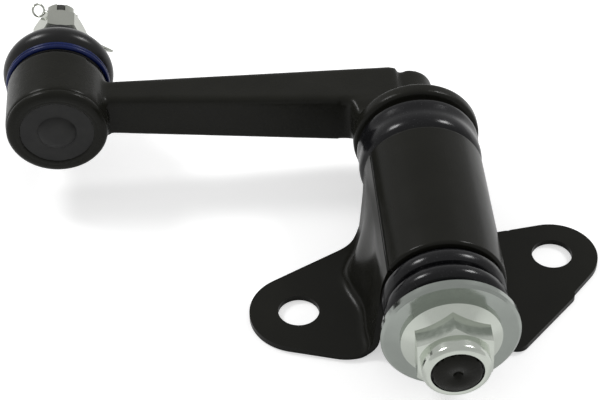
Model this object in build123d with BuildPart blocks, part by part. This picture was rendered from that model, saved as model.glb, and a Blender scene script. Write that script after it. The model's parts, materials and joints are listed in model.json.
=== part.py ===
from build123d import *
import os
from math import acos, asin, atan2, cos, degrees, exp, hypot, radians, sin, sqrt, tan

# Idler arm of a truck's steering, with its pressed mounting bracket.
# Millimetres. +Z points out of the bracket's mounting face, towards the pivot barrel.
# The origin lies on the mounting face, midway between the two bolt holes.
# +Y runs along the pivot, from its nut to the arm, and +X lies square to it on the face.

# Mounting bracket, pressed from one sheet
bolt_spacing = 92.4
bolt_skew = 13.0
bolt_hole_radius = 7.0
sheet = 2.1
long_ear_radius = 17.4
long_ear_centre = (-44.4, -10.7)
short_ear_radius = 15.6
short_ear_centre = (45.2, 9.8)
long_ear_front_radius = 16.0
long_ear_front = (-29.5, -16.6)
long_ear_back_radius = 2.0
long_ear_back = (-28.0, 16.2)
short_ear_front_radius = 4.6
short_ear_front = (26.5, -28.9)
short_ear_back_radius = 1.0
short_ear_back = (26.0, 21.6)
short_ear_side_radius = 3.0
short_ear_side = (46.6, -9.6)
long_fold_radius = 4.5
short_fold_radius = 3.0
fold_spread = 5.2
fold_skew = 0.034
fold_bulge = 5.3
fold_bulge_place = 3.0
fold_bulge_width = 11.0
fold_stations = 9
ear_start_gap = 2.5
short_ear_start_gap = 1.3
ear_reach = 80.0
back_corner_inset = 0.4
back_shoulder_angle = 119.4
back_hollow = 1.1
wall_front_inset = 2.2
wall_flat = 0.7
short_wall_rise = 15.0
seam_angle = 148.5
seam_radius = 0.8
saddle_edge_round = 1.1

# Pivot barrel
pivot_x = 0.6
pivot_z = 28.0
barrel_radius = 21.0
barrel_front = -30.3
barrel_back = 27.6
tube_wall = 2.1
weld_gap = 0.2

# Bushes at the two ends of the barrel
bush_wall = 5.85
spindle_clearance = 0.05
bush_depth = 21.0
front_bush_length = 17.8
front_bush_inset = 0.6
front_groove_depth = 1.9
front_rib_length = 6.25
front_rib_gap = 0.8
front_lip_inset = 1.0
front_lip_length = 2.0
rib_lean = 0.15
back_bush_length = 14.2
back_bush_proud = 0.4
back_bush_neck_inset = 1.4
back_bush_edge = 1.0
back_bush_taper = 0.3
thrust_clearance = 0.1

# Thick washer, lock nut and threaded end of the spindle
washer_proud = 1.5
washer_thickness = 3.3
washer_bevel = 0.9
thread_step = 2.0
washer_bore_clearance = 0.3
nut_flats_per_thread = 3.0
nut_flange_width = 4.3
nut_flange_edge = 1.4
nut_flange_slope = 2.2
nut_hex_top = 10.8
nut_height = 15.7
nut_collar_wall = 3.0
nut_collar_round = 1.6
nut_lip = 1.1
insert_wall = 1.6
insert_height = 3.6
insert_bore_clearance = 0.02
nut_corner_angle = 92.0
spindle_proud = 1.1
spindle_end_chamfer = 1.0
centre_drill_radius = 1.9
centre_drill_depth = 2.2

# Arm forging
arm_length = 125.9
arm_angle = 2.0
thrust_ring_inset = 2.0
thrust_ring_length = 2.1
disc_proud = 1.2
disc_thickness = 5.5
disc_round = 1.2
hub_radius = 8.8
hub_back = 74.2
hub_flare = 15.5
hub_flare_length = 9.2
hub_round = 1.5
bar_start = 4.5
bar_root_height = 20.3
bar_root_front = 55.3
bar_root_back = 75.2
bar_tip_height = 15.4
bar_tip_front = 62.2
bar_tip_back = 72.4
bar_edge_round = 2.0

# Ball joint housing, at the arm's outer end
ball_place = 66.7
housing_radius = 18.1
housing_front_length = 11.3
housing_back_length = 11.8
housing_edge = 1.2
crimp_outer = 15.6
crimp_crown = 14.4
crimp_inner = 12.4
crimp_height = 2.3
cap_radius = 13.3
cap_rise = 1.7
cap_thickness = 1.8
cap_dome_radius = 6.9
cap_dome_height = 1.7
cavity_radius = 13.5
throat_radius = 8.9
throat_length = 1.0
throat_shoulder = 1.0
throat_depth = 4.5
throat_mouth_radius = 12.0
boot_seat_radius = 15.8
boot_seat_length = 4.5

# Ball stud
ball_radius = 10.0
ball_clearance = 0.05
seat_clearance = 0.05
seat_hole_radius = 4.0
stud_neck_radius = 5.5
stud_collar_start = 6.5
stud_collar_flare = 4.0
stud_collar_radius = 6.6
stud_taper_length = 13.3
stud_taper_end_radius = 5.5
stud_thread_radius = 5.0
stud_thread_step = 0.5
stud_proud = 1.5
stud_end_chamfer = 0.8

# Castle nut and cotter pin
castle_gap = 0.3
castle_hex_height = 8.8
castle_height = 16.6
castle_across_flats = 17.0
castle_crown_radius = 6.6
castle_chamfer = 1.0
castle_slot_width = 3.1
castle_slot_depth = 4.7
castle_slots = 6
castle_slot_angle = 82.0
castle_bore_clearance = 0.02
pin_radius = 1.4
pin_hole_radius = 1.55
pin_slit = 0.2
pin_reach_short = 23.0
pin_reach_long = 25.5
pin_eye_place = 10.6
pin_eye_radius = 2.5
pin_eye_wire = 0.9

# Dust boot and its two rings
boot_wall = 1.5
boot_base_gap = 0.2
boot_base_radius = 17.4
boot_bead_inset = 0.6
boot_widest_height = 7.2
boot_widest_radius = 20.1
boot_height = 21.0
boot_neck_radius = 9.0
boot_shoulder_spread = 5.4
boot_shoulder_drop = 4.4
boot_neck_length = 2.2
boot_lip_slope = 0.8
boot_lip_length = 2.1
boot_lip_proud = 0.3
boot_stud_gap = 0.3
base_ring_wire = 0.85
base_ring_proud = 0.4
base_ring_start = 1.2
base_ring_pitch = 1.4
neck_ring_wire = 0.55
neck_ring_start = 1.2

# Places that follow from the values above
quarter_turn = 90
fold_line = pivot_x - barrel_radius - fold_spread
long_ear_start = fold_line - fold_bulge - ear_start_gap
short_ear_start = pivot_x + barrel_radius + short_fold_radius + short_ear_start_gap
long_ear_end = long_ear_front[1] - long_ear_front_radius
front_bush_radius = barrel_radius - front_bush_inset
front_lip_radius = front_bush_radius - front_lip_inset
back_bush_radius = barrel_radius + back_bush_proud
back_bush_neck = barrel_radius - back_bush_neck_inset
washer_radius = barrel_radius + washer_proud
thrust_ring_radius = barrel_radius - thrust_ring_inset
disc_radius = barrel_radius + disc_proud
front_bush_front = barrel_front - front_bush_length
back_bush_back = barrel_back + back_bush_length
thrust_face = back_bush_back + thrust_clearance
washer_back = front_bush_front - thrust_clearance
washer_front = washer_back - washer_thickness
nut_end = washer_front - nut_height
spindle_end = nut_end - spindle_proud
disc_front = thrust_face + thrust_ring_length
disc_back = disc_front + disc_thickness
wall_circle = barrel_radius - wall_flat
tube_radius = wall_circle - sheet - weld_gap
tube_bore = tube_radius - tube_wall
bush_bore = tube_bore - bush_wall
spindle_radius = bush_bore - spindle_clearance
thread_radius = spindle_radius - thread_step
nut_across_flats = nut_flats_per_thread * thread_radius
nut_flange_radius = nut_across_flats / 2 + nut_flange_width
nut_collar_radius = thread_radius + nut_collar_wall
insert_outer = thread_radius + insert_wall
ball_x = pivot_x - arm_length * cos(radians(arm_angle))
ball_z = pivot_z + arm_length * sin(radians(arm_angle))
housing_front = ball_place - housing_front_length
housing_back = ball_place + housing_back_length
crimp_front = housing_front - crimp_height
cap_front = housing_front - cap_rise
throat_place = housing_back - throat_depth
cavity_back = throat_place - throat_length - throat_shoulder
boot_base = housing_back + boot_base_gap
boot_widest_place = boot_base + boot_widest_height
boot_neck_place = boot_base + boot_height
boot_lip_start = boot_neck_place + boot_neck_length + boot_lip_slope
boot_lip_end = boot_lip_start + boot_lip_length
boot_lip_radius = boot_neck_radius + boot_lip_proud
base_ring_centre = boot_base_radius + base_ring_proud
base_ring_middle = boot_base + base_ring_start + base_ring_pitch / 2
neck_ring_place = boot_neck_place + neck_ring_start
castle_front = boot_lip_end + castle_gap
castle_end = castle_front + castle_height
stud_collar_place = housing_back + boot_seat_length + stud_collar_start
stud_taper_end = stud_collar_place + stud_taper_length
stud_end = castle_end + stud_proud
pin_place = castle_end - castle_slot_depth / 2

pivot_axis = Axis((pivot_x, 0, pivot_z), (0, 1, 0))
ball_axis = Axis((ball_x, 0, ball_z), (0, 1, 0))
# Half sections are drawn with the radius across and the place along +Y upwards
pivot_section = Plane(origin=(pivot_x, 0, pivot_z), x_dir=(1, 0, 0), z_dir=(0, 0, 1))
ball_section = Plane(origin=(ball_x, 0, ball_z), x_dir=(1, 0, 0), z_dir=(0, 0, 1))


def across(place):
    """Plane across the pivot at a place along Y, with X to the right and Z up."""
    return Plane(origin=(0, place, 0), x_dir=(1, 0, 0), z_dir=(0, -1, 0))


def pivot_plane(place, turn=0.0):
    """Plane across the pivot axis, centred on it and turned about it."""
    direction = (cos(radians(turn)), 0, sin(radians(turn)))
    return Plane(origin=(pivot_x, place, pivot_z), x_dir=direction, z_dir=(0, -1, 0))


def ball_plane(place, turn=0.0):
    """Plane across the stud axis, centred on it and turned about it."""
    direction = (cos(radians(turn)), 0, sin(radians(turn)))
    return Plane(origin=(ball_x, place, ball_z), x_dir=direction, z_dir=(0, -1, 0))


def bar_plane(distance):
    """Plane across the arm's bar, with Y to the right and the bar's height upwards."""
    along = (-cos(radians(arm_angle)), 0, sin(radians(arm_angle)))
    origin = (pivot_x + distance * along[0], 0, pivot_z + distance * along[2])
    return Plane(origin=origin, x_dir=(0, 1, 0), z_dir=along)


def polar(centre, radius, angle):
    """Point at an angle in degrees on a circle."""
    return (centre[0] + radius * cos(radians(angle)), centre[1] + radius * sin(radians(angle)))


def fold_at(place):
    """X of the long ear's fold, which swings out round the middle of the barrel."""
    swing = exp(-(((place - fold_bulge_place) / fold_bulge_width) ** 2))
    return fold_line + fold_skew * place - fold_bulge * swing


def long_wall_points(place):
    """Circle centres and the wall's slope, where it runs straight between its two curves."""
    barrel_centre = (pivot_x, pivot_z)
    fold_centre = (fold_at(place), sheet + long_fold_radius)
    reach_x = barrel_centre[0] - fold_centre[0]
    reach_z = barrel_centre[1] - fold_centre[1]
    lean = asin((wall_circle + long_fold_radius) / hypot(reach_x, reach_z))
    slope = degrees(atan2(reach_z, reach_x) + lean)
    return barrel_centre, fold_centre, slope


with BuildPart() as mounting_bracket:
    # Barrel wrap and short-ear side, the same all along the barrel
    with BuildSketch(across(barrel_back)):
        with BuildLine():
            centre = (pivot_x, pivot_z)
            outside = barrel_radius
            inside = barrel_radius - sheet
            half_way = seam_angle / 2
            fold_centre = (pivot_x + outside + short_fold_radius, sheet + short_fold_radius)
            under_radius = short_fold_radius + sheet
            ThreePointArc(
                polar(centre, outside, seam_angle),
                polar(centre, outside, half_way),
                polar(centre, outside, 0),
            )
            Line(polar(centre, outside, 0), polar(fold_centre, short_fold_radius, 180))
            ThreePointArc(
                polar(fold_centre, short_fold_radius, 180),
                polar(fold_centre, short_fold_radius, 225),
                polar(fold_centre, short_fold_radius, 270),
            )
            Line(polar(fold_centre, short_fold_radius, 270), (short_ear_start, sheet))
            Line((short_ear_start, sheet), (short_ear_start, 0))
            Line((short_ear_start, 0), polar(fold_centre, under_radius, 270))
            ThreePointArc(
                polar(fold_centre, under_radius, 270),
                polar(fold_centre, under_radius, 225),
                polar(fold_centre, under_radius, 180),
            )
            Line(polar(fold_centre, under_radius, 180), polar(centre, inside, 0))
            ThreePointArc(
                polar(centre, inside, 0),
                polar(centre, inside, half_way),
                polar(centre, inside, seam_angle),
            )
            Line(polar(centre, inside, seam_angle), polar(centre, outside, seam_angle))
        make_face()
    extrude(amount=barrel_back - barrel_front)
    wrap_ends = (
        mounting_bracket.edges()
        .filter_by(GeomType.CIRCLE)
        .filter_by(lambda edge: abs(edge.radius - barrel_radius) < 0.01)
    )
    fillet(wrap_ends, saddle_edge_round)

    # Long-ear side: the fold swings out and back along the barrel
    for station in range(fold_stations):
        place = barrel_back + (long_ear_end - barrel_back) * station / (fold_stations - 1)
        centre, fold_centre, slope = long_wall_points(place)
        under_radius = long_fold_radius + sheet
        fold_end = slope - quarter_turn
        barrel_end = slope + quarter_turn
        wall_start = seam_angle + degrees(acos(wall_circle / barrel_radius))
        wrap_middle = (wall_start + barrel_end) / 2
        wall_inside = wall_circle - sheet
        fold_middle = (fold_end - quarter_turn) / 2
        with BuildSketch(across(place)):
            with BuildLine():
                Line((long_ear_start, sheet), polar(fold_centre, long_fold_radius, 270))
                ThreePointArc(
                    polar(fold_centre, long_fold_radius, -quarter_turn),
                    polar(fold_centre, long_fold_radius, fold_middle),
                    polar(fold_centre, long_fold_radius, fold_end),
                )
                Line(
                    polar(fold_centre, long_fold_radius, fold_end),
                    polar(centre, wall_circle, barrel_end),
                )
                ThreePointArc(
                    polar(centre, wall_circle, barrel_end),
                    polar(centre, wall_circle, wrap_middle),
                    polar(centre, wall_circle, wall_start),
                )
                Polyline(
                    polar(centre, wall_circle, wall_start),
                    polar(centre, barrel_radius, seam_angle),
                    polar(centre, barrel_radius - sheet, seam_angle),
                    polar(centre, wall_inside, wall_start),
                )
                ThreePointArc(
                    polar(centre, wall_inside, wall_start),
                    polar(centre, wall_inside, wrap_middle),
                    polar(centre, wall_inside, barrel_end),
                )
                Line(
                    polar(centre, wall_inside, barrel_end),
                    polar(fold_centre, under_radius, fold_end),
                )
                ThreePointArc(
                    polar(fold_centre, under_radius, fold_end),
                    polar(fold_centre, under_radius, fold_middle),
                    polar(fold_centre, under_radius, -quarter_turn),
                )
                Line(polar(fold_centre, under_radius, -quarter_turn), (long_ear_start, 0))
                Line((long_ear_start, 0), (long_ear_start, sheet))
            make_face()
    loft()

    # Flat ears, and the short ear's lip in front of the barrel
    with BuildSketch(Plane.XY):
        with Locations((long_ear_start, 0)):
            Rectangle(ear_reach, ear_reach, align=(Align.MAX, Align.CENTER))
        with Locations((short_ear_start, 0)):
            Rectangle(ear_reach, ear_reach, align=(Align.MIN, Align.CENTER))
        with Locations((short_ear_start, barrel_front)):
            Rectangle(2 * short_ear_front_radius, ear_reach, align=(Align.MAX, Align.MAX))
    extrude(amount=sheet)

    # Outline in plan, which trims the folded sheet
    with BuildSketch(Plane.XY):
        with BuildSketch(Plane.XY, mode=Mode.PRIVATE) as long_ear:
            with Locations(long_ear_centre):
                Circle(long_ear_radius)
            with Locations(long_ear_front):
                Circle(long_ear_front_radius)
            with Locations(long_ear_back):
                Circle(long_ear_back_radius)
            make_hull()
        with BuildSketch(Plane.XY, mode=Mode.PRIVATE) as short_ear:
            with Locations(short_ear_centre):
                Circle(short_ear_radius)
            with Locations(short_ear_front):
                Circle(short_ear_front_radius)
            with Locations(short_ear_back):
                Circle(short_ear_back_radius)
            make_hull()
        with BuildSketch(Plane.XY, mode=Mode.PRIVATE) as short_ear_lobe:
            with Locations(short_ear_front):
                Circle(short_ear_front_radius)
            with Locations(short_ear_side):
                Circle(short_ear_side_radius)
            make_hull()
        add(long_ear.sketch)
        add(short_ear.sketch)
        add(short_ear_lobe.sketch)
        with BuildLine():
            back_left = (pivot_x - barrel_radius - back_corner_inset, barrel_back)
            ear_shoulder = polar(long_ear_back, long_ear_back_radius, back_shoulder_angle)
            middle_x = (back_left[0] + ear_shoulder[0]) / 2 + back_hollow * sqrt(0.5)
            middle_y = (back_left[1] + ear_shoulder[1]) / 2 - back_hollow * sqrt(0.5)
            front_left = (long_ear_front[0], long_ear_end)
            front_step = (pivot_x - barrel_radius + wall_front_inset, barrel_front)
            right = short_ear_start
            ThreePointArc(ear_shoulder, (middle_x, middle_y), back_left)
            Polyline(
                back_left,
                (right, barrel_back),
                (right, barrel_front),
                front_step,
                front_left,
                ear_shoulder,
            )
        make_face()
    extrude(amount=pivot_z + 2 * barrel_radius, mode=Mode.INTERSECT)

    # The short wall's edge sweeps up from its ear to the barrel's end
    with BuildSketch(Plane.YZ.offset(pivot_x + barrel_radius / 2)):
        with BuildLine():
            ear_edge = short_ear_back[1] + short_ear_back_radius
            Polyline(
                (ear_edge, 0),
                (barrel_back, short_wall_rise),
                (barrel_back + sheet, short_wall_rise),
                (barrel_back + sheet, -sheet),
                (ear_edge, -sheet),
                (ear_edge, 0),
            )
        make_face()
    extrude(amount=barrel_radius, mode=Mode.SUBTRACT)

    # Bolt holes
    for turn in (0, 180):
        with Locations((*polar((0, 0), bolt_spacing / 2, bolt_skew + turn), sheet)):
            Hole(radius=bolt_hole_radius, depth=2 * sheet)

    # Seam where the rising wall meets the wrap
    with BuildSketch(across(barrel_back)):
        with Locations(polar((pivot_x, pivot_z), barrel_radius + seam_radius / 4, seam_angle)):
            Circle(seam_radius)
    extrude(amount=barrel_back - barrel_front, mode=Mode.SUBTRACT)

mounting_bracket.part.label = "mounting_bracket"

with BuildPart() as pivot_tube:
    with BuildSketch(across(barrel_back)):
        with Locations((pivot_x, pivot_z)):
            Circle(tube_radius)
            Circle(tube_bore, mode=Mode.SUBTRACT)
    extrude(amount=barrel_back - barrel_front)
pivot_tube.part.label = "pivot_tube"

# Flanged bush with two rounded ribs, between the barrel's nut end and the thick washer
with BuildPart() as front_bush:
    with BuildSketch(pivot_section):
        with BuildLine():
            rib = front_bush_radius
            groove = front_bush_radius - front_groove_depth
            front_rib = barrel_front - front_rib_gap
            back_rib = front_rib - front_rib_length - front_rib_gap
            rib_end = back_rib - front_rib_length
            Polyline(
                (bush_bore, barrel_front + bush_depth),
                (tube_bore, barrel_front + bush_depth),
                (tube_bore, barrel_front),
                (groove, barrel_front),
                (groove, front_rib),
            )
            Spline(
                (groove, front_rib),
                (rib, front_rib - front_rib_length / 2),
                (groove, front_rib - front_rib_length),
                tangents=((1, -rib_lean), (-1, -rib_lean)),
            )
            Line((groove, front_rib - front_rib_length), (groove, back_rib))
            Spline(
                (groove, back_rib),
                (rib, back_rib - front_rib_length / 2),
                (groove, rib_end),
                tangents=((1, -rib_lean), (-1, -rib_lean)),
            )
            Polyline(
                (groove, rib_end),
                (groove, front_bush_front + front_lip_length + front_rib_gap),
                (front_lip_radius, front_bush_front + front_lip_length),
                (front_lip_radius, front_bush_front),
                (bush_bore, front_bush_front),
                (bush_bore, barrel_front + bush_depth),
            )
        make_face()
    revolve(axis=pivot_axis)
front_bush.part.label = "nut_end_bush"

# Flanged bush with one broad rounded ring, between the barrel's arm end and the arm
with BuildPart() as back_bush:
    with BuildSketch(pivot_section):
        with BuildLine():
            crown = barrel_back + back_bush_length / 2
            Polyline(
                (bush_bore, barrel_back - bush_depth),
                (tube_bore, barrel_back - bush_depth),
                (tube_bore, barrel_back),
                (back_bush_neck, barrel_back),
            )
            Spline(
                (back_bush_neck, barrel_back),
                (back_bush_radius, crown),
                (back_bush_radius - back_bush_taper, back_bush_back - back_bush_edge),
                tangents=((1, 0.8), (-0.15, 1)),
            )
            Polyline(
                (back_bush_radius - back_bush_taper, back_bush_back - back_bush_edge),
                (back_bush_radius - back_bush_edge, back_bush_back),
                (bush_bore, back_bush_back),
                (bush_bore, barrel_back - bush_depth),
            )
        make_face()
    revolve(axis=pivot_axis)
back_bush.part.label = "arm_end_bush"

# Arm forging: spindle, thrust disc, hub, tapering bar and ball joint housing in one piece
with BuildPart() as idler_arm:
    # Bar between the pivot and the ball joint
    for distance, height, front, back in (
        (bar_start, bar_root_height, bar_root_front, bar_root_back),
        (arm_length, bar_tip_height, bar_tip_front, bar_tip_back),
    ):
        with BuildSketch(bar_plane(distance)):
            with Locations(((front + back) / 2, 0)):
                RectangleRounded(back - front, height, bar_edge_round)
    loft()
    # Hub and disc
    with BuildSketch(pivot_section):
        with BuildLine():
            Polyline(
                (0, spindle_end),
                (thread_radius - spindle_end_chamfer, spindle_end),
                (thread_radius, spindle_end + spindle_end_chamfer),
                (thread_radius, washer_back),
                (spindle_radius, washer_back),
                (spindle_radius, thrust_face),
                (thrust_ring_radius, thrust_face),
                (thrust_ring_radius, disc_front),
                (disc_radius - disc_round, disc_front),
            )
            ThreePointArc(
                (disc_radius - disc_round, disc_front),
                (disc_radius - disc_round * (1 - sqrt(0.5)), disc_front + disc_round * (1 - sqrt(0.5))),
                (disc_radius, disc_front + disc_round),
            )
            Line((disc_radius, disc_front + disc_round), (disc_radius, disc_back - disc_round))
            ThreePointArc(
                (disc_radius, disc_back - disc_round),
                (disc_radius - disc_round * (1 - sqrt(0.5)), disc_back - disc_round * (1 - sqrt(0.5))),
                (disc_radius - disc_round, disc_back),
            )
            Line((disc_radius - disc_round, disc_back), (hub_flare, disc_back + disc_round))
            Spline(
                (hub_flare, disc_back + disc_round),
                (hub_radius, disc_back + hub_flare_length),
                tangents=((-1, 0.6), (0, 1)),
            )
            Line((hub_radius, disc_back + hub_flare_length), (hub_radius, hub_back - hub_round))
            ThreePointArc(
                (hub_radius, hub_back - hub_round),
                (hub_radius - hub_round * (1 - sqrt(0.5)), hub_back - hub_round * (1 - sqrt(0.5))),
                (hub_radius - hub_round, hub_back),
            )
            Polyline((hub_radius - hub_round, hub_back), (0, hub_back), (0, spindle_end))
        make_face()
    revolve(axis=pivot_axis)
    # Centre drilling in the spindle's threaded end
    with BuildSketch(pivot_section):
        with BuildLine():
            Polyline(
                (0, spindle_end - 1),
                (centre_drill_radius, spindle_end - 1),
                (centre_drill_radius, spindle_end),
                (0, spindle_end + centre_drill_depth),
                (0, spindle_end - 1),
            )
        make_face()
    revolve(axis=pivot_axis, mode=Mode.SUBTRACT)
    # Housing, from its rolled rim round the end cap to the boot's seat
    with BuildSketch(ball_section):
        with BuildLine():
            Polyline(
                (0, cap_front + cap_thickness),
                (cap_radius, cap_front + cap_thickness),
                (cap_radius, cap_front),
                (crimp_inner, cap_front),
            )
            ThreePointArc(
                (crimp_inner, cap_front),
                (crimp_crown, crimp_front),
                (crimp_outer, housing_front + housing_edge),
            )
            Line((crimp_outer, housing_front + housing_edge), (housing_radius - housing_edge, housing_front))
            ThreePointArc(
                (housing_radius - housing_edge, housing_front),
                (
                    housing_radius - housing_edge * (1 - sqrt(0.5)),
                    housing_front + housing_edge * (1 - sqrt(0.5)),
                ),
                (housing_radius, housing_front + housing_edge),
            )
            Polyline(
                (housing_radius, housing_front + housing_edge),
                (housing_radius, housing_back - housing_edge),
                (housing_radius - housing_edge, housing_back),
                (boot_seat_radius, housing_back),
                (boot_seat_radius, housing_back + boot_seat_length),
                (0, housing_back + boot_seat_length),
                (0, cap_front + cap_thickness),
            )
        make_face()
    revolve(axis=ball_axis)
    # Cavity for the seat, and the throat that keeps the ball in
    with BuildSketch(ball_section):
        with BuildLine():
            Polyline(
                (0, cap_front + cap_thickness),
                (cavity_radius, cap_front + cap_thickness),
                (cavity_radius, cavity_back),
                (throat_radius, throat_place - throat_length),
                (throat_radius, throat_place),
                (throat_mouth_radius, housing_back + boot_seat_length),
                (0, housing_back + boot_seat_length),
                (0, cap_front + cap_thickness),
            )
        make_face()
    revolve(axis=ball_axis, mode=Mode.SUBTRACT)
idler_arm.part.label = "idler_arm"

with BuildPart() as thick_washer:
    with BuildSketch(pivot_section):
        with BuildLine():
            bore = thread_radius + washer_bore_clearance
            Polyline(
                (bore, washer_back),
                (washer_radius - washer_bevel / 2, washer_back),
                (washer_radius, washer_back - washer_bevel / 2),
                (washer_radius, washer_front + washer_bevel),
                (washer_radius - washer_bevel, washer_front),
                (bore, washer_front),
                (bore, washer_back),
            )
        make_face()
    revolve(axis=pivot_axis)
thick_washer.part.label = "thick_washer"

# Flanged lock nut: flange, hexagon with chamfered corners, and collar rolled over the insert
with BuildPart() as lock_nut:
    with BuildSketch(pivot_plane(washer_front - nut_flange_edge, nut_corner_angle)):
        RegularPolygon(nut_across_flats / 2, 6, major_radius=False)
    extrude(amount=nut_hex_top - nut_flange_edge)
    with BuildSketch(pivot_section):
        with BuildLine():
            corner = nut_across_flats / sqrt(3)
            flat = nut_across_flats / 2
            hex_top = washer_front - nut_hex_top
            Polyline(
                (0, washer_front),
                (corner + 1, washer_front),
                (corner + 1, hex_top + (corner + 1 - flat) * tan(radians(30))),
                (flat, hex_top),
                (0, hex_top),
                (0, washer_front),
            )
        make_face()
    revolve(axis=pivot_axis, mode=Mode.INTERSECT)
    with BuildSketch(pivot_section):
        with BuildLine():
            slope_end = washer_front - nut_flange_edge - nut_flange_slope
            Polyline(
                (0, washer_front),
                (nut_flange_radius, washer_front),
                (nut_flange_radius, washer_front - nut_flange_edge),
                (flat, slope_end),
                (nut_collar_radius, slope_end),
                (nut_collar_radius, nut_end + nut_collar_round),
            )
            ThreePointArc(
                (nut_collar_radius, nut_end + nut_collar_round),
                (
                    nut_collar_radius - nut_collar_round * (1 - sqrt(0.5)),
                    nut_end + nut_collar_round * (1 - sqrt(0.5)),
                ),
                (nut_collar_radius - nut_collar_round, nut_end),
            )
            Polyline((nut_collar_radius - nut_collar_round, nut_end), (0, nut_end), (0, washer_front))
        make_face()
    revolve(axis=pivot_axis)
    with BuildSketch(pivot_section):
        with BuildLine():
            insert_front = nut_end + nut_lip
            insert_back = insert_front + insert_height
            Polyline(
                (0, washer_front),
                (thread_radius + insert_bore_clearance, washer_front),
                (thread_radius + insert_bore_clearance, insert_back),
                (insert_outer, insert_back),
                (insert_outer, insert_front),
                (thread_radius + nut_lip / 2, nut_end),
                (0, nut_end),
                (0, washer_front),
            )
        make_face()
    revolve(axis=pivot_axis, mode=Mode.SUBTRACT)
lock_nut.part.label = "flange_lock_nut"

with BuildPart() as lock_insert:
    with BuildSketch(pivot_plane(insert_back)):
        Circle(insert_outer)
        Circle(thread_radius + insert_bore_clearance, mode=Mode.SUBTRACT)
    extrude(amount=insert_height)
lock_insert.part.label = "lock_nut_insert"

with BuildPart() as end_cap:
    with BuildSketch(ball_section):
        with BuildLine():
            dome_crown = cap_front - cap_dome_height
            Polyline(
                (0, cap_front + cap_thickness),
                (cap_radius, cap_front + cap_thickness),
                (cap_radius, cap_front),
                (cap_dome_radius, cap_front),
            )
            Spline(
                (cap_dome_radius, cap_front),
                (0, dome_crown),
                tangents=((-0.6, -1), (-1, 0)),
            )
            Line((0, dome_crown), (0, cap_front + cap_thickness))
        make_face()
    revolve(axis=ball_axis)
end_cap.part.label = "ball_joint_end_cap"

# Plastic seat, which holds the ball from both sides inside the housing
with BuildPart() as ball_seat:
    with BuildSketch(ball_section):
        with BuildLine():
            seat_outer = cavity_radius - seat_clearance
            seat_bore = ball_radius + ball_clearance
            seat_front = cap_front + cap_thickness
            seat_back = cavity_back
            front_mouth = (seat_hole_radius, ball_place - sqrt(seat_bore**2 - seat_hole_radius**2))
            back_mouth = (sqrt(seat_bore**2 - (seat_back - ball_place) ** 2), seat_back)
            Polyline(
                front_mouth,
                (seat_hole_radius, seat_front),
                (seat_outer, seat_front),
                (seat_outer, seat_back),
                back_mouth,
            )
            ThreePointArc(back_mouth, (seat_bore, ball_place), front_mouth)
        make_face()
    revolve(axis=ball_axis)
ball_seat.part.label = "ball_seat"

with BuildPart() as ball_stud:
    with BuildSketch(ball_section):
        with BuildLine():
            ball_end = ball_place + sqrt(ball_radius**2 - stud_neck_radius**2)
            Line((0, stud_end), (0, ball_place - ball_radius))
            ThreePointArc(
                (0, ball_place - ball_radius),
                (ball_radius, ball_place),
                (stud_neck_radius, ball_end),
            )
            Polyline(
                (stud_neck_radius, ball_end),
                (stud_neck_radius, stud_collar_place - stud_collar_flare),
                (stud_collar_radius, stud_collar_place),
                (stud_taper_end_radius, stud_taper_end),
                (stud_thread_radius, stud_taper_end + stud_thread_step),
                (stud_thread_radius, stud_end - stud_end_chamfer),
                (stud_thread_radius - stud_end_chamfer, stud_end),
                (0, stud_end),
            )
        make_face()
    revolve(axis=ball_axis)
    # Hole for the cotter pin
    pin_plane = Plane(
        origin=(ball_x, pin_place, ball_z),
        x_dir=(0, 1, 0),
        z_dir=(cos(radians(castle_slot_angle + 60)), 0, sin(radians(castle_slot_angle + 60))),
    )
    with BuildSketch(pin_plane):
        Circle(pin_hole_radius)
    extrude(amount=2 * stud_thread_radius, both=True, mode=Mode.SUBTRACT)
ball_stud.part.label = "ball_stud"

# Castle nut: hexagon with chamfered corners, and a slotted crown
with BuildPart() as castle_nut:
    with BuildSketch(ball_plane(castle_front + castle_hex_height, castle_slot_angle + 30)):
        RegularPolygon(castle_across_flats / 2, 6, major_radius=False)
    extrude(amount=castle_hex_height)
    with BuildSketch(ball_section):
        with BuildLine():
            corner = castle_across_flats / sqrt(3)
            flat = castle_across_flats / 2
            chamfer_rise = (corner + 1 - flat) * tan(radians(30))
            hex_end = castle_front + castle_hex_height
            Polyline(
                (0, castle_front),
                (flat, castle_front),
                (corner + 1, castle_front + chamfer_rise),
                (corner + 1, hex_end - chamfer_rise),
                (flat, hex_end),
                (0, hex_end),
                (0, castle_front),
            )
        make_face()
    revolve(axis=ball_axis, mode=Mode.INTERSECT)
    with BuildSketch(ball_section):
        with BuildLine():
            Polyline(
                (0, castle_front),
                (castle_crown_radius, castle_front),
                (castle_crown_radius, castle_end - castle_chamfer),
                (castle_crown_radius - castle_chamfer, castle_end),
                (0, castle_end),
                (0, castle_front),
            )
        make_face()
    revolve(axis=ball_axis)
    with BuildSketch(ball_plane(castle_end, castle_slot_angle)):
        for slot in range(castle_slots // 2):
            Rectangle(castle_across_flats, castle_slot_width, rotation=slot * 360 / castle_slots)
    extrude(amount=castle_slot_depth, mode=Mode.SUBTRACT)
    with BuildSketch(ball_plane(castle_end)):
        Circle(stud_thread_radius + castle_bore_clearance)
    extrude(amount=castle_height, mode=Mode.SUBTRACT)
castle_nut.part.label = "castle_nut"

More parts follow.
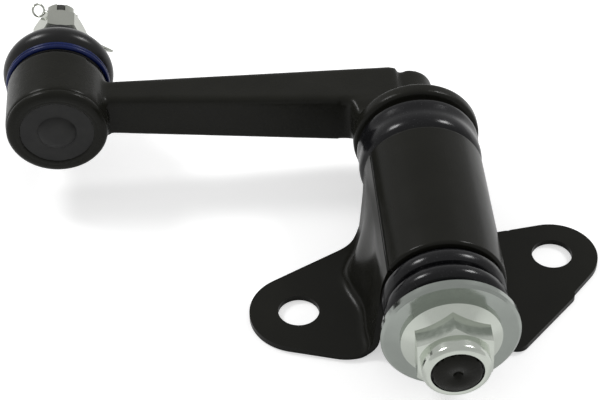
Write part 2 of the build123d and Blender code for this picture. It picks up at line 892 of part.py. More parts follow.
# Cotter pin: two half-round legs of unequal length, not bent over, and the eye
with BuildPart() as cotter_pin:
    leg_start = pin_eye_place - pin_eye_radius
    for reach, side in ((pin_reach_short, Align.MIN), (pin_reach_long, Align.MAX)):
        with BuildSketch(pin_plane.offset(leg_start)):
            Circle(pin_radius)
            Rectangle(4 * pin_radius, 4 * pin_radius, align=(side, Align.CENTER), mode=Mode.INTERSECT)
            Rectangle(pin_slit, 4 * pin_radius, mode=Mode.SUBTRACT)
        extrude(amount=-leg_start - reach)
    eye_centre = pin_plane.origin + pin_plane.z_dir * pin_eye_place
    eye_section = Plane(origin=eye_centre, x_dir=-pin_plane.z_dir, z_dir=pin_plane.y_dir)
    with BuildSketch(eye_section):
        with Locations((pin_eye_radius, 0)):
            Circle(pin_eye_wire)
    revolve(axis=Axis(eye_centre, pin_plane.x_dir))
cotter_pin.part.label = "cotter_pin"

# Dust boot: a bulging rubber shell with a neck that grips the stud
with BuildPart() as dust_boot:
    with BuildSketch(ball_section):
        with BuildLine():
            seat = boot_seat_radius
            seat_end = housing_back + boot_seat_length
            stud_seal = stud_collar_radius + boot_stud_gap
            Line((seat, seat_end), (seat, boot_base))
            Line((seat, boot_base), (boot_base_radius, boot_base))
            shoulder_radius = boot_neck_radius + boot_shoulder_spread
            shoulder_place = boot_neck_place - boot_shoulder_drop
            Line((boot_base_radius, boot_base), (boot_base_radius, seat_end - boot_bead_inset))
            Spline(
                (boot_base_radius, seat_end - boot_bead_inset),
                (boot_widest_radius, boot_widest_place),
                (shoulder_radius, shoulder_place),
                (boot_neck_radius, boot_neck_place),
                tangents=((1, 0.4), (-1, 0.25)),
            )
            Polyline(
                (boot_neck_radius, boot_neck_place),
                (boot_neck_radius, boot_neck_place + boot_neck_length),
                (boot_lip_radius, boot_lip_start),
                (boot_lip_radius, boot_lip_end),
                (stud_seal, boot_lip_end),
                (stud_seal, boot_neck_place - boot_wall),
                (boot_neck_radius, boot_neck_place - boot_wall),
            )
            Spline(
                (boot_neck_radius, boot_neck_place - boot_wall),
                (shoulder_radius, shoulder_place - boot_wall),
                (boot_widest_radius - boot_wall, boot_widest_place),
                (seat, seat_end),
                tangents=((1, -0.25), (-1, -0.5)),
            )
        make_face()
    revolve(axis=ball_axis)
dust_boot.part.label = "dust_boot"

# Retaining ring of two turns round the boot's base
with BuildPart() as base_ring:
    with BuildSketch(ball_section):
        for side in (-1, 1):
            with Locations((base_ring_centre, base_ring_middle + side * base_ring_pitch / 2)):
                Circle(base_ring_wire)
        with Locations((base_ring_centre - base_ring_wire / 2, base_ring_middle)):
            Rectangle(base_ring_wire / 2, base_ring_pitch)
        with Locations((boot_base_radius, base_ring_middle)):
            inside_width = 4 * base_ring_wire
            inside_align = (Align.MAX, Align.CENTER)
            Rectangle(inside_width, 2 * inside_width, align=inside_align, mode=Mode.SUBTRACT)
    revolve(axis=ball_axis)
base_ring.part.label = "boot_base_ring"

with BuildPart() as neck_ring:
    with BuildSketch(ball_section):
        with Locations((boot_neck_radius + neck_ring_wire, neck_ring_place)):
            Circle(neck_ring_wire)
    revolve(axis=ball_axis)
neck_ring.part.label = "boot_neck_ring"

os.makedirs("parts", exist_ok=True)
for piece in (
    mounting_bracket,
    pivot_tube,
    front_bush,
    back_bush,
    idler_arm,
    thick_washer,
    lock_nut,
    lock_insert,
    end_cap,
    ball_seat,
    ball_stud,
    castle_nut,
    cotter_pin,
    dust_boot,
    base_ring,
    neck_ring,
):
    export_step(piece.part, f"parts/{piece.part.label}.step")
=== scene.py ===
import json
from math import cos, radians, sin

import bpy
from mathutils import Matrix, Vector


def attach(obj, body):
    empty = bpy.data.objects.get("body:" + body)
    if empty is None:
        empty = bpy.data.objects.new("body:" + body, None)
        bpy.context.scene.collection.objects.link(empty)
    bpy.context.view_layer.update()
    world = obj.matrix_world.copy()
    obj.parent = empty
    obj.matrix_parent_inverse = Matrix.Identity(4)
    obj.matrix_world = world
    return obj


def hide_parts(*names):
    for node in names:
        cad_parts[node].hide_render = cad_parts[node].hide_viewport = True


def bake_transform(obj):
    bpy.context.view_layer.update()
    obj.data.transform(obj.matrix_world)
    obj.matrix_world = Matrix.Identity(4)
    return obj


bl_info = {
    "name": "Idler arm",
    "version": (1, 0, 0),
    "blender": (4, 5, 0),
    "location": "View3D > Sidebar > Idler arm",
    "description": "Dresses the packed idler arm with its rubber, paint, plating and studio",
    "category": "Object",
}

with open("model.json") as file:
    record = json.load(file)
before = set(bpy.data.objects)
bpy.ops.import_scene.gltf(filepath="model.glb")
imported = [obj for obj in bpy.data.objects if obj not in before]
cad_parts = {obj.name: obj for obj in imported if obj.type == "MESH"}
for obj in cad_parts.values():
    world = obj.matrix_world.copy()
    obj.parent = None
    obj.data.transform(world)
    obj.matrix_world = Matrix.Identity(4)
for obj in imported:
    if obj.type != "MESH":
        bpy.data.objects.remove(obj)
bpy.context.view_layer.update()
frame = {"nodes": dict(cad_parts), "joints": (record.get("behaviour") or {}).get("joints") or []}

MM = 0.001
NODES = frame["nodes"]
CREASE = radians(32)


def joint_named(name):
    """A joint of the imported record."""
    return next(joint for joint in frame["joints"] if joint["name"] == name)


PIVOT = Vector(joint_named("arm_swing")["pos_m"])
BALL = Vector(joint_named("stud_tilt")["pos_m"])
# Places along Y, in millimetres
SPINDLE_CUT = 43.5
FORGING_CUT = 43.0
CRIMP = 55.25
PIN_HOLE = 119.35
# Where the bracket's skin begins, as a distance from the pivot in millimetres
WRAP_SKIN = 19.2
# The seam beside the wrap, in degrees round the pivot, which gets a bumped crease and painted shade
SEAM_ANGLE = 151.2
SEAM_HALF_WIDTH = 1.9
# The turn of the cotter pin's hole about the stud
PIN_TURN = radians(128)
# The floor's glow to the camera, and the share of it that reflections see
FLOOR_GLOW = 0.52
MIRRORED_SHARE = 0.25
# Each softbox's side in metres, its watts and the point that it is turned to
SOFTBOX_SIZE = 0.26
SOFTBOX_POWER = 3.8
LIT_POINT = Vector((0, 0, 0.03))


# Modelling by hand, on lengths in millimetres


def deselect():
    """Leaves nothing selected, as every operator acts on the selection."""
    if bpy.context.object and bpy.context.object.mode != "OBJECT":
        bpy.ops.object.mode_set(mode="OBJECT")
    bpy.ops.object.select_all(action="DESELECT")


def settle():
    """Applies the active piece's place, turn and scale to its mesh, and returns the piece."""
    bpy.ops.object.transform_apply(location=True, rotation=True, scale=True)
    return bpy.context.object


def turn_profile(name, centre, profile, steps=64):
    """Draws a closed half section of (radius, place along Y) and spins it round the centre's axis."""
    deselect()
    radius, place = profile[0]
    start = (centre.x + radius * MM, place * MM, centre.z)
    bpy.ops.mesh.primitive_plane_add(size=MM, location=start)
    piece = settle()
    piece.name = piece.data.name = name
    bpy.ops.object.mode_set(mode="EDIT")
    bpy.ops.mesh.select_all(action="SELECT")
    bpy.ops.mesh.merge(type="CENTER")
    for (r0, y0), (r1, y1) in zip(profile, profile[1:] + profile[:1]):
        step = ((r1 - r0) * MM, (y1 - y0) * MM, 0)
        bpy.ops.mesh.extrude_region_move(TRANSFORM_OT_translate={"value": step})
    bpy.ops.mesh.select_all(action="SELECT")
    bpy.ops.mesh.remove_doubles(threshold=0.001 * MM)
    bpy.ops.mesh.spin(steps=steps, angle=radians(360), center=(centre.x, 0, centre.z), axis=(0, 1, 0))
    bpy.ops.mesh.select_all(action="SELECT")
    bpy.ops.mesh.remove_doubles(threshold=0.001 * MM)
    bpy.ops.mesh.normals_make_consistent(inside=False)
    bpy.ops.object.mode_set(mode="OBJECT")
    return piece


def copy_of(node, name):
    """A merged copy of a CAD node's mesh as a piece of its own."""
    deselect()
    bpy.ops.mesh.primitive_cube_add(size=MM)
    piece = bpy.context.object
    piece.name = name
    piece.data = NODES[node].data.copy()
    piece.data.name = name
    bpy.ops.object.mode_set(mode="EDIT")
    bpy.ops.mesh.select_all(action="SELECT")
    bpy.ops.mesh.remove_doubles(threshold=0.002 * MM)
    bpy.ops.mesh.normals_make_consistent(inside=False)
    bpy.ops.object.mode_set(mode="OBJECT")
    return piece


def saw(piece, place, keep_far):
    """Saws a piece across Y at a place in millimetres and caps the cut."""
    deselect()
    piece.select_set(True)
    bpy.context.view_layer.objects.active = piece
    bpy.ops.object.mode_set(mode="EDIT")
    bpy.ops.mesh.select_all(action="SELECT")
    bpy.ops.mesh.bisect(
        plane_co=(0, place * MM, 0), plane_no=(0, 1, 0), use_fill=True,
        clear_inner=keep_far, clear_outer=not keep_far,
    )
    bpy.ops.object.mode_set(mode="OBJECT")


def pick(piece, wanted):
    """Selects the vertices whose place a test wants, and nothing else."""
    for face in piece.data.polygons:
        face.select = False
    for edge in piece.data.edges:
        edge.select = False
    for vertex in piece.data.vertices:
        vertex.select = wanted(vertex.co)


def block(name, axis, near, far):
    """A tapered block between two rectangles, each as (place along the axis, low corner, high corner)."""
    deselect()
    others = [each for each in (0, 1, 2) if each != axis]
    middle, reach = [0, 0, 0], [0, 0, 0]
    middle[axis] = (near[0] + far[0]) / 2 * MM
    reach[axis] = abs(far[0] - near[0]) * MM
    for each, low, high in zip(others, near[1], near[2]):
        middle[each] = (low + high) / 2 * MM
        reach[each] = (high - low) * MM
    bpy.ops.mesh.primitive_cube_add(size=1, location=middle, scale=reach)
    piece = settle()
    piece.name = piece.data.name = name
    toward = 1 if far[0] > near[0] else -1
    pick(piece, lambda place: (place[axis] - middle[axis]) * toward > 0)
    growth, shift = [1, 1, 1], [0, 0, 0]
    for each, low, high in zip(others, far[1], far[2]):
        growth[each] = (high - low) * MM / reach[each]
        shift[each] = (low + high) / 2 * MM - middle[each]
    bpy.ops.object.mode_set(mode="EDIT")
    bpy.ops.transform.resize(value=growth)
    bpy.ops.transform.translate(value=shift)
    bpy.ops.object.mode_set(mode="OBJECT")
    return piece


def ring(centre, turn, radius, wire, steps, wire_steps):
    """A ring of round wire at a centre in metres, with its two radii in millimetres."""
    deselect()
    bpy.ops.mesh.primitive_torus_add(
        location=centre, rotation=turn, major_segments=steps, minor_segments=wire_steps,
        major_radius=radius * MM, minor_radius=wire * MM,
    )
    return settle()


def weld(piece, *others):
    """Joins pieces to the first one."""
    deselect()
    for each in (piece, *others):
        each.select_set(True)
    bpy.context.view_layer.objects.active = piece
    bpy.ops.object.join()


def rub_down(piece, low, high, repeats):
    """Smooths the skin between two corners in millimetres, as a hand file would."""
    pick(piece, lambda place: all(a * MM < c < b * MM for a, c, b in zip(low, place, high)))
    bpy.ops.object.mode_set(mode="EDIT")
    bpy.ops.mesh.select_mode(type="VERT")
    bpy.ops.mesh.vertices_smooth(factor=0.5, repeat=repeats)
    bpy.ops.object.mode_set(mode="OBJECT")


def soften(piece, levels=2):
    """Smooths a piece with subdivision and applies it."""
    modifier = piece.modifiers.new("Soft moulding", "SUBSURF")
    modifier.levels = modifier.render_levels = levels
    bpy.ops.object.modifier_apply(modifier=modifier.name)
    bpy.ops.object.shade_smooth()


# Finishes


class Finish:
    """A Principled material that reads Object coordinates, with its pattern nodes."""

    def __init__(self, name, roughness, metallic=0.0, specular=0.5):
        self.material = bpy.data.materials.new(name)
        self.material.use_nodes = True
        self.nodes = self.material.node_tree.nodes
        self.links = self.material.node_tree.links
        self.shader = self.nodes["Principled BSDF"]
        self.shader.inputs["Metallic"].default_value = metallic
        self.shader.inputs["Roughness"].default_value = roughness
        self.shader.inputs["Specular IOR Level"].default_value = specular
        self.place = self.nodes.new("ShaderNodeTexCoord").outputs["Object"]
        self.normal = None

    def noise(self, scale, detail=4.0, rough=0.55, stretch=None):
        """Noise over the piece, its scale in features a metre."""
        node = self.nodes.new("ShaderNodeTexNoise")
        node.inputs["Scale"].default_value = scale
        node.inputs["Detail"].default_value = detail
        node.inputs["Roughness"].default_value = rough
        place = self.place
        if stretch:
            mapping = self.nodes.new("ShaderNodeMapping")
            mapping.inputs["Scale"].default_value = stretch
            self.links.new(place, mapping.inputs["Vector"])
            place = mapping.outputs["Vector"]
        self.links.new(place, node.inputs["Vector"])
        return node.outputs["Fac"]

    def ramp(self, value, *stops):
        """Colours or greys laid out along a value, as (place, colour) stops."""
        node = self.nodes.new("ShaderNodeValToRGB")
        ramp = node.color_ramp
        while len(ramp.elements) < len(stops):
            ramp.elements.new(0.5)
        for element, (place, colour) in zip(ramp.elements, stops):
            element.position = place
            grey = isinstance(colour, float)
            element.color = (colour, colour, colour, 1) if grey else (*colour, 1)
        self.links.new(value, node.inputs["Fac"])
        return node.outputs["Color"]

    def math(self, operation, *values):
        """The result of one operation on sockets and plain numbers."""
        node = self.nodes.new("ShaderNodeMath")
        node.operation = operation
        for socket, value in zip(node.inputs, values):
            if isinstance(value, (int, float)):
                socket.default_value = value
            else:
                self.links.new(value, socket)
        return node.outputs["Value"]

    def along_seam(self, angle, half_width):
        """A soft band round the pivot at an angle in degrees, which fades at its edges; it masks the seam's
        bumped crease and its painted shade.
        """
        axes = self.nodes.new("ShaderNodeSeparateXYZ")
        self.links.new(self.place, axes.inputs["Vector"])
        x = self.math("SUBTRACT", axes.outputs["X"], PIVOT.x)
        z = self.math("SUBTRACT", axes.outputs["Z"], PIVOT.z)
        turn = self.math("DEGREES", self.math("ARCTAN2", z, x))
        away = self.math("ABSOLUTE", self.math("SUBTRACT", turn, angle))
        band = self.math("SUBTRACT", 1.0, self.math("DIVIDE", away, half_width))
        reach = self.math("ADD", self.math("POWER", x, 2.0), self.math("POWER", z, 2.0))
        outer = self.math("GREATER_THAN", reach, (WRAP_SKIN * MM) ** 2)
        return self.math("MULTIPLY", self.math("SMOOTH_MAX", band, 0.0, 0.3), outer)

    def shade(self, painted_shade):
        """Lowers the base colour by multiplying it with a second colour, which paints shade."""
        node = self.nodes.new("ShaderNodeMix")
        node.data_type = "RGBA"
        node.blend_type = "MULTIPLY"
        node.inputs["Factor"].default_value = 1.0
        base = self.shader.inputs["Base Color"]
        self.links.new(base.links[0].from_socket, node.inputs["A"])
        self.links.new(painted_shade, node.inputs["B"])
        self.links.new(node.outputs["Result"], base)

    def colour(self, value, *stops):
        self.links.new(self.ramp(value, *stops), self.shader.inputs["Base Color"])

    def roughness(self, value, *stops):
        self.links.new(self.ramp(value, *stops), self.shader.inputs["Roughness"])

    def bump(self, height, depth, strength=1.0):
        """Adds relief of a depth in millimetres on top of what is there."""
        node = self.nodes.new("ShaderNodeBump")
        node.inputs["Strength"].default_value = strength
        node.inputs["Distance"].default_value = depth * MM
        self.links.new(height, node.inputs["Height"])
        if self.normal:
            self.links.new(self.normal, node.inputs["Normal"])
        self.normal = node.outputs["Normal"]
        self.links.new(self.normal, self.shader.inputs["Normal"])

    def mix(self, fac, a, b):
        """Mixes two colours or values by a factor socket."""
        node = self.nodes.new("ShaderNodeMix")
        node.data_type = "RGBA"
        self.links.new(fac, node.inputs["Factor"])
        for socket, value in ((node.inputs["A"], a), (node.inputs["B"], b)):
            self.links.new(value, socket)
        return node.outputs["Result"]

    def wear(self, *nodes):
        """Puts the finish on CAD nodes or new pieces."""
        for name in nodes:
            piece = NODES[name] if isinstance(name, str) else name
            piece.data.materials.clear()
            piece.data.materials.append(self.material)


def bracket_paint():
    """Satin black paint on pressed steel, with a bumped crease and painted shade along the seam."""
    paint = Finish("bracket black paint", 0.3, specular=0.14)
    cloud = paint.noise(45)
    paint.colour(cloud, (0.3, (0.0088, 0.0088, 0.0068)), (0.7, (0.0112, 0.0112, 0.0088)))
    paint.roughness(paint.noise(130), (0.3, 0.20), (0.75, 0.28))
    paint.bump(paint.noise(420, detail=2.0), 0.02, 0.5)
    seam_groove_and_shade = paint.along_seam(SEAM_ANGLE, SEAM_HALF_WIDTH)
    paint.bump(seam_groove_and_shade, -0.5)
    # Painted shade: the base colour is multiplied down to 0.12 along the seam's crease, standing in for the
    # shade that falls there.
    painted_shade = paint.ramp(seam_groove_and_shade, (0.0, (1.0, 1.0, 1.0)), (1.0, (0.12, 0.12, 0.12)))
    paint.shade(painted_shade)
    return paint


def forging_paint():
    """The same paint over a forging's scale."""
    paint = Finish("forging black paint", 0.35, specular=0.14)
    paint.colour(paint.noise(60), (0.3, (0.0096, 0.0096, 0.0074)), (0.7, (0.0128, 0.0128, 0.0100)))
    paint.roughness(paint.noise(220), (0.3, 0.22), (0.75, 0.34))
    paint.bump(paint.noise(900, detail=5.0, rough=0.65), 0.05, 0.6)
    paint.bump(paint.noise(240, detail=2.0), 0.06, 0.5)
    return paint


def cap_paint():
    """Grey-black phosphate on the ball joint's end cap."""
    paint = Finish("end cap phosphate", 0.45, specular=0.25)
    paint.colour(paint.noise(160), (0.3, (0.014, 0.014, 0.014)), (0.7, (0.022, 0.022, 0.021)))
    paint.roughness(paint.noise(400), (0.3, 0.40), (0.75, 0.52))
    paint.bump(paint.noise(1500, detail=3.0), 0.01, 0.4)
    return paint


def zinc_plate(name, tint):
    """Bright zinc plate with faint clouding."""
    zinc = Finish(name, 0.25, metallic=1.0)
    zinc.colour(zinc.noise(110), (0.3, tuple(0.92 * part for part in tint)), (0.7, tint))
    zinc.roughness(zinc.noise(500, detail=5.0), (0.3, 0.12), (0.75, 0.20))
    zinc.bump(zinc.noise(1400, detail=3.0), 0.006, 0.35)
    return zinc


def bush_rubber():
    """Glossy black bush with a little dust on it."""
    rubber = Finish("bush rubber", 0.2, specular=0.28)
    dust = rubber.ramp(rubber.noise(2600, detail=2.0), (0.66, 0.0), (0.74, 1.0))
    bare = rubber.ramp(rubber.noise(70), (0.3, (0.004, 0.004, 0.005)), (0.7, (0.007, 0.007, 0.008)))
    grey = rubber.ramp(rubber.noise(900), (0.3, (0.03, 0.03, 0.032)), (0.7, (0.09, 0.09, 0.095)))
    rubber.links.new(rubber.mix(dust, bare, grey), rubber.shader.inputs["Base Color"])
    rubber.roughness(rubber.noise(300), (0.3, 0.16), (0.75, 0.27))
    rubber.bump(rubber.noise(700, detail=2.0), 0.012, 0.4)
    return rubber


def boot_rubber():
    """Satin moulded rubber."""
    rubber = Finish("boot rubber", 0.30, specular=0.34)
    rubber.colour(rubber.noise(90), (0.3, (0.006, 0.006, 0.0062)), (0.7, (0.010, 0.010, 0.0105)))
    rubber.roughness(rubber.noise(260), (0.3, 0.25), (0.75, 0.34))
    rubber.bump(rubber.noise(800, detail=3.0), 0.012, 0.4)
    return rubber


def ring_plastic():
    """Dark blue moulded ring."""
    plastic = Finish("blue ring", 0.28, specular=0.25)
    plastic.colour(plastic.noise(120), (0.3, (0.002, 0.008, 0.060)), (0.7, (0.004, 0.013, 0.090)))
    plastic.roughness(plastic.noise(300), (0.3, 0.24), (0.75, 0.34))
    plastic.bump(plastic.noise(900), 0.008, 0.3)
    return plastic


def spring_steel():
    """Dark spring wire."""
    steel = Finish("neck ring steel", 0.3, metallic=1.0)
    steel.colour(steel.noise(300), (0.3, (0.16, 0.16, 0.15)), (0.7, (0.25, 0.25, 0.235)))
    steel.roughness(steel.noise(700), (0.3, 0.25), (0.75, 0.38))
    return steel


def nut_nylon():
    """Black locking ring of the lock nut."""
    nylon = Finish("lock nut nylon", 0.4, specular=0.45)
    nylon.colour(nylon.noise(400), (0.3, (0.006, 0.007, 0.009)), (0.7, (0.012, 0.013, 0.016)))
    nylon.roughness(nylon.noise(900), (0.3, 0.34), (0.75, 0.46))
    nylon.bump(nylon.noise(1800), 0.01, 0.3)
    return nylon


def seat_plastic():
    """Natural bearing plastic, inside the housing."""
    plastic = Finish("ball seat plastic", 0.4)
    plastic.colour(plastic.noise(200), (0.3, (0.70, 0.68, 0.60)), (0.7, (0.80, 0.78, 0.70)))
    plastic.roughness(plastic.noise(500), (0.3, 0.35), (0.75, 0.45))
    return plastic


def stud_steel():
    """Dark phosphated steel of the ball stud."""
    steel = Finish("ball stud steel", 0.25, metallic=1.0)
    steel.colour(steel.noise(200), (0.3, (0.08, 0.08, 0.075)), (0.7, (0.12, 0.12, 0.11)))
    steel.roughness(steel.noise(600), (0.3, 0.22), (0.75, 0.34))
    return steel


def floor_white():
    """White floor that still takes the part's shadow."""
    floor = Finish("studio floor", 0.6, specular=0.2)
    floor.colour(floor.noise(2), (0.3, 0.76), (0.7, 0.78))
    path = floor.nodes.new("ShaderNodeLightPath")
    mirrored = floor.math("MAXIMUM", path.outputs["Is Glossy Ray"], path.outputs["Is Transmission Ray"])
    seen = floor.math("MAXIMUM", path.outputs["Is Camera Ray"], floor.math("MULTIPLY", mirrored, MIRRORED_SHARE))
    floor.shader.inputs["Emission Color"].default_value = (1, 1, 1, 1)
    floor.links.new(floor.math("MULTIPLY", seen, FLOOR_GLOW), floor.shader.inputs["Emission Strength"])
    return floor.material


# The studio


def lay_floor():
    """Lays the white floor just under the part."""
    deselect()
    bpy.ops.mesh.primitive_grid_add(x_subdivisions=2, y_subdivisions=2, size=6, location=(0, 0, -0.0004))
    floor = bpy.context.object
    floor.name = "studio_floor"
    floor.data.materials.append(floor_white())


def light_sky(scene):
    """Lights the part from all round, a little more from low down than from above."""
    world = bpy.data.worlds.new("studio")
    scene.world = world
    world.use_nodes = True
    nodes, links = world.node_tree.nodes, world.node_tree.links
    sky = nodes["Background"]
    around = nodes.new("ShaderNodeTexCoord")
    height = nodes.new("ShaderNodeSeparateXYZ")
    links.new(around.outputs["Generated"], height.inputs["Vector"])
    glow = nodes.new("ShaderNodeMapRange")
    glow.interpolation_type = "SMOOTHSTEP"
    for socket, value in (("From Min", 0.05), ("From Max", 0.45), ("To Min", 0.58), ("To Max", 0.52)):
        glow.inputs[socket].default_value = value
    links.new(height.outputs["Z"], glow.inputs["Value"])
    links.new(glow.outputs["Result"], sky.inputs["Strength"])
    sky.inputs["Color"].default_value = (1, 1, 1, 1)


def hang_softbox(name, place):
    """Hangs a square lamp at a place in metres, turned to the part."""
    data = bpy.data.lights.new(name, "AREA")
    data.shape = "SQUARE"
    data.size = SOFTBOX_SIZE
    data.energy = SOFTBOX_POWER
    lamp = bpy.data.objects.new(name, data)
    bpy.context.collection.objects.link(lamp)
    lamp.location = place
    lamp.rotation_euler = (Vector(place) - LIT_POINT).to_track_quat("Z", "Y").to_euler()


def set_camera(scene):
    """Sets the camera at the photograph's place, turn and lens."""
    view = scene.idler_stage
    data = bpy.data.cameras.new("photo view")
    data.lens = view.lens
    data.sensor_width = 36
    data.clip_start, data.clip_end = 0.02, 20
    camera = bpy.data.objects.new("photo view", data)
    bpy.context.collection.objects.link(camera)
    scene.camera = camera
    a, e, r = view.azimuth, view.elevation, view.roll
    ahead = Vector((-sin(a) * cos(e), cos(a) * cos(e), -sin(e)))
    level = Vector((cos(a), sin(a), 0))
    below = ahead.cross(level)
    right = cos(r) * level + sin(r) * below
    down = -sin(r) * level + cos(r) * below
    camera.rotation_euler = Matrix((right, -down, -ahead)).transposed().to_euler()
    camera.location = view.place


# Pieces and their sizes


class BootSizes(bpy.types.PropertyGroup):
    """Sizes of the dust boot"""

    widest: bpy.props.FloatProperty(
        name="Widest radius", description="Radius of the boot's bulge",
        default=0.020, min=0.018, max=0.0201, precision=4, unit="LENGTH", subtype="DISTANCE",
    )
    steps: bpy.props.IntProperty(
        name="Steps", description="Steps round the boot before smoothing",
        default=64, min=24, max=128, subtype="UNSIGNED",
    )


class StageSizes(bpy.types.PropertyGroup):
    """Place, turn and lens of the camera"""

    lens: bpy.props.FloatProperty(
        name="Lens", description="Focal length on a sensor of 36 mm",
        default=118.85, min=20.0, max=300.0, unit="CAMERA",
    )
    place: bpy.props.FloatVectorProperty(
        name="Camera place", description="Camera's place in the part's frame",
        default=(-0.07481, -0.48234, 0.48014), subtype="TRANSLATION", unit="LENGTH",
    )
    azimuth: bpy.props.FloatProperty(
        name="Azimuth", description="Turn of the camera about Z",
        default=radians(-3.71), subtype="ANGLE", unit="ROTATION",
    )
    elevation: bpy.props.FloatProperty(
        name="Elevation", description="Camera's height above the horizon",
        default=radians(42.12), subtype="ANGLE", unit="ROTATION",
    )
    roll: bpy.props.FloatProperty(
        name="Roll", description="Turn of the camera about its own axis",
        default=radians(0.60), subtype="ANGLE", unit="ROTATION",
    )


class ForgingSizes(bpy.types.PropertyGroup):
    """Skin and smoothing of the forged arm"""

    grain: bpy.props.FloatProperty(
        name="Grain", description="Size of the forging's skin facets",
        default=0.0006, min=0.0005, max=0.002, precision=5, unit="LENGTH", subtype="DISTANCE",
    )
    rounding: bpy.props.IntProperty(
        name="Rounding", description="Passes of smoothing over the whole forging",
        default=10, min=1, max=40, subtype="UNSIGNED",
    )
    blending: bpy.props.IntProperty(
        name="Blending", description="Passes of smoothing where the bar meets its ends",
        default=30, min=1, max=300, subtype="UNSIGNED",
    )


class IDLER_OT_painted_steel(bpy.types.Operator):
    """Paints the bracket, its tube and the end cap"""

    bl_idname = "idler.painted_steel"
    bl_label = "Painted steel"

    def execute(self, context):
        bracket_paint().wear("mounting_bracket", "pivot_tube")
        cap_paint().wear("ball_joint_end_cap")
        return {"FINISHED"}


class IDLER_OT_forging(bpy.types.Operator):
    """Blends the forged arm's bar into its disc, hub and housing, and keeps its turned spindle sharp"""

    bl_idname = "idler.forging"
    bl_label = "Forged arm"

    def execute(self, context):
        sizes = context.scene.idler_forging
        paint = forging_paint()
        arm = copy_of("idler_arm", "forged_arm")
        saw(arm, FORGING_CUT, keep_far=True)
        root = block("root", 1, (50, (-20.2, 23.5), (2, 37.4)), (56.5, (-21.6, 20), (-2, 38.6)))
        neck = block("neck", 0, (-107, (61.3, 23.8), (72.5, 39.2)), (-113, (58.0, 19.6), (77.0, 40.2)))
        weld(arm, root, neck)
        modifier = arm.modifiers.new("Forged skin", "REMESH")
        modifier.mode = "VOXEL"
        modifier.voxel_size = sizes.grain
        bpy.ops.object.modifier_apply(modifier=modifier.name)
        modifier = arm.modifiers.new("Rounded edges", "SMOOTH")
        modifier.factor = 0.5
        modifier.iterations = sizes.rounding
        bpy.ops.object.modifier_apply(modifier=modifier.name)
        # Where the bar grows out of the disc, of the hub and of the housing
        rub_down(arm, (-26, 49.5, 15), (10, 58, 40), sizes.blending)
        rub_down(arm, (-6, 55, 33), (-0.5, 80, 42), sizes.blending // 2)
        rub_down(arm, (-114, 55, 14), (-107.4, 78, 50), sizes.blending)
        crimp = ring((BALL.x, CRIMP * MM, BALL.z), (radians(90), 0, 0), 15.2, 2.65, 96, 24)
        bpy.ops.object.mode_set(mode="EDIT")
        bpy.ops.mesh.select_all(action="SELECT")
        bpy.ops.transform.resize(value=(1, 0.8, 1))
        bpy.ops.object.mode_set(mode="OBJECT")
        weld(arm, crimp)
        bpy.ops.object.shade_smooth()
        spindle = copy_of("idler_arm", "turned_spindle")
        saw(spindle, SPINDLE_CUT, keep_far=False)
        bpy.ops.object.shade_smooth_by_angle(angle=CREASE)
        for piece in (arm, spindle):
            paint.wear(piece)
            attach(piece, "arm")
            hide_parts("idler_arm")
        return {"FINISHED"}


class IDLER_OT_plated_fixings(bpy.types.Operator):
    """Plates the washer and both nuts, and finishes the stud and the small rings"""

    bl_idname = "idler.plated_fixings"
    bl_label = "Plated fixings"

    def execute(self, context):
        zinc_plate("washer zinc", (0.40, 0.43, 0.40)).wear("thick_washer")
        zinc_plate("lock nut zinc", (0.68, 0.72, 0.655)).wear("flange_lock_nut")
        zinc_plate("castle nut zinc", (0.56, 0.575, 0.52)).wear("castle_nut")
        nut_nylon().wear("lock_nut_insert")
        spring_steel().wear("boot_neck_ring")
        stud_steel().wear("ball_stud")
        seat_plastic().wear("ball_seat")
        ring_plastic().wear("boot_base_ring")
        return {"FINISHED"}


class IDLER_OT_cotter_pin(bpy.types.Operator):
    """Bends the cotter pin's wire through the nut, with its eye on the left and one long leg"""

    bl_idname = "idler.cotter_pin"
    bl_label = "Cotter pin"

    def execute(self, context):
        along = Vector((sin(PIN_TURN), 0, cos(PIN_TURN)))
        hole = Vector((BALL.x, PIN_HOLE * MM, BALL.z))
        # Stations of the wire: place along the hole, offset along Y, radius
        wire = [
            (-7.6, -0.8, 0.7), (-6.0, -0.25, 1.25), (9.0, -0.25, 1.25), (10.5, -0.8, 1.15), (12, -1.6, 1.0),
            (13.5, -2.3, 0.95), (15, -2.8, 0.9), (18, -3.0, 0.85), (21, -2.6, 0.8), (23.5, -1.9, 0.45),
        ]
        place, across, radius = wire[0]
        deselect()
        bpy.ops.mesh.primitive_circle_add(
            vertices=24, radius=radius * MM, fill_type="NGON", rotation=(0, PIN_TURN, 0),
            location=hole + along * place * MM + Vector((0, across * MM, 0)),
        )
        pin = settle()
        pin.name = pin.data.name = "cotter_pin_wire"
        bpy.ops.object.mode_set(mode="EDIT")
        bpy.ops.mesh.select_all(action="SELECT")
        for (s0, t0, r0), (s1, t1, r1) in zip(wire, wire[1:]):
            step = along * (s1 - s0) * MM + Vector((0, (t1 - t0) * MM, 0))
            bpy.ops.mesh.extrude_region_move(TRANSFORM_OT_translate={"value": step})
            bpy.ops.transform.resize(value=(r1 / r0, r1 / r0, r1 / r0))
        bpy.ops.mesh.select_all(action="SELECT")
        bpy.ops.mesh.normals_make_consistent(inside=False)
        bpy.ops.object.mode_set(mode="OBJECT")
        middle = hole + along * -9.6 * MM + Vector((0, -1.15 * MM, 0))
        facing = Vector((0.474, -0.64, 0.607)).to_track_quat("Z", "Y").to_euler()
        weld(pin, ring(middle, facing, 2.3, 0.42, 64, 16))
        bpy.ops.object.shade_smooth_by_angle(angle=CREASE)
        zinc_plate("cotter pin zinc", (0.60, 0.62, 0.56)).wear(pin)
        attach(pin, "stud")
        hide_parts("cotter_pin")
        return {"FINISHED"}


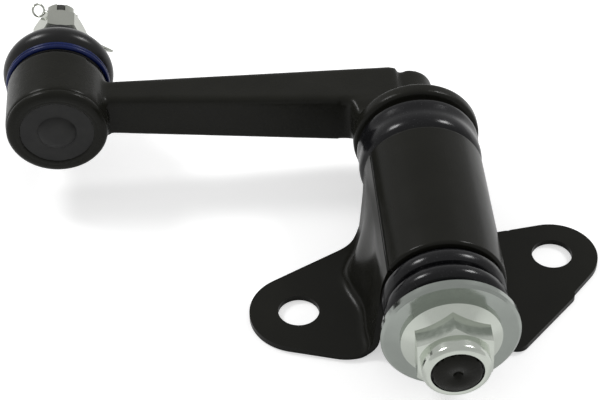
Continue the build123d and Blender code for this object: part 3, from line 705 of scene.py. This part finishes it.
class IDLER_OT_dust_boot(bpy.types.Operator):
    """Moulds the dust boot between its base ring and the stud"""

    bl_idname = "idler.dust_boot"
    bl_label = "Dust boot"

    def execute(self, context):
        sizes = context.scene.idler_boot
        wide = sizes.widest / MM
        profile = [
            (15.85, 78.75), (17.1, 78.72), (17.38, 79.0), (17.38, 82.2), (17.7, 82.6), (18.7, 83.3),
            (19.6, 84.5), (wide, 86.4), (19.7, 88.4), (18.6, 90.7), (16.8, 92.9), (14.6, 95.0), (12.2, 97.2),
            (10.3, 98.8), (9.2, 99.6), (8.98, 100.1), (8.98, 101.8), (9.15, 102.1), (9.3, 102.8),
            (9.3, 104.4), (9.0, 104.75), (7.2, 104.78), (6.95, 104.5), (6.95, 98.4), (8.6, 97.9), (11.2, 96.3),
            (13.4, 94.2), (15.4, 92.1), (17.1, 89.9), (18.3, 87.6), (18.3, 86.0), (17.4, 84.3), (16.4, 83.4),
            (15.85, 83.1),
        ]
        boot = turn_profile("dust_boot_rubber", BALL, profile, sizes.steps)
        soften(boot)
        boot_rubber().wear(boot)
        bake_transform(boot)
        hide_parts("dust_boot")
        return {"FINISHED"}


class IDLER_OT_bushes(bpy.types.Operator):
    """Moulds the two glossy bushes at the barrel's ends"""

    bl_idname = "idler.bushes"
    bl_label = "Bushes"

    def execute(self, context):
        front = [
            (10.06, -9.3), (15.85, -9.3), (15.88, -30.0), (18.5, -30.32), (18.5, -31.0), (19.6, -31.5),
            (20.38, -33.0), (20.38, -35.4), (19.6, -36.8), (18.5, -37.3), (18.5, -38.2), (19.6, -38.7),
            (20.38, -40.1), (20.38, -42.5), (19.6, -43.8), (18.5, -44.4), (18.5, -45.3), (19.3, -45.9),
            (19.38, -47.9), (19.1, -48.08), (10.06, -48.08),
        ]
        back = [
            (10.06, 6.6), (15.85, 6.6), (15.88, 27.4), (19.3, 27.62), (19.6, 27.9), (20.5, 28.7), (21.1, 29.9),
            (21.36, 31.4), (21.38, 32.8), (21.2, 34.3), (20.95, 35.6), (20.9, 36.6), (21.0, 37.8), (21.25, 39.2),
            (21.38, 40.2), (21.2, 41.1), (20.6, 41.7), (20.2, 41.78), (10.06, 41.78),
        ]
        finish = bush_rubber()
        for name, node, profile in (
            ("nut_end_bush_rubber", "nut_end_bush", front),
            ("arm_end_bush_rubber", "arm_end_bush", back),
        ):
            bush = turn_profile(name, PIVOT, profile)
            bpy.ops.object.shade_smooth_by_angle(angle=CREASE)
            finish.wear(bush)
            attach(bush, "bracket")
            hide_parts(node)
        return {"FINISHED"}


class IDLER_OT_stage(bpy.types.Operator):
    """Lays the floor, lights the part and sets the camera"""

    bl_idname = "idler.stage"
    bl_label = "Stage"

    def execute(self, context):
        lay_floor()
        light_sky(context.scene)
        for name, place in (("left softbox", (-0.66, 0.42, 0.80)), ("right softbox", (0.66, 0.42, 0.80))):
            hang_softbox(name, place)
        set_camera(context.scene)
        context.scene.view_settings.view_transform = "Standard"
        return {"FINISHED"}


class IDLER_PT_panel(bpy.types.Panel):
    """Lists the steps that dress the idler arm"""

    bl_label = "Idler arm"
    bl_space_type = "VIEW_3D"
    bl_region_type = "UI"
    bl_category = "Idler arm"

    def draw(self, context):
        for step in STEPS:
            self.layout.operator(step.bl_idname)
        scene = context.scene
        for sizes in (scene.idler_forging, scene.idler_boot, scene.idler_stage):
            for name in sizes.__annotations__:
                self.layout.prop(sizes, name)


STEPS = (
    IDLER_OT_painted_steel,
    IDLER_OT_forging,
    IDLER_OT_plated_fixings,
    IDLER_OT_cotter_pin,
    IDLER_OT_dust_boot,
    IDLER_OT_bushes,
    IDLER_OT_stage,
)
CLASSES = (ForgingSizes, BootSizes, StageSizes, *STEPS, IDLER_PT_panel)


def register():
    for each in CLASSES:
        bpy.utils.register_class(each)
    bpy.types.Scene.idler_forging = bpy.props.PointerProperty(type=ForgingSizes)
    bpy.types.Scene.idler_boot = bpy.props.PointerProperty(type=BootSizes)
    bpy.types.Scene.idler_stage = bpy.props.PointerProperty(type=StageSizes)


def unregister():
    del bpy.types.Scene.idler_forging
    del bpy.types.Scene.idler_boot
    del bpy.types.Scene.idler_stage
    for each in reversed(CLASSES):
        bpy.utils.unregister_class(each)


def main():
    register()
    bpy.ops.idler.stage()
    bpy.ops.idler.painted_steel()
    bpy.ops.idler.forging()
    bpy.ops.idler.plated_fixings()
    bpy.ops.idler.cotter_pin()
    bpy.ops.idler.dust_boot()
    bpy.ops.idler.bushes()


if __name__ == "__main__":
    main()
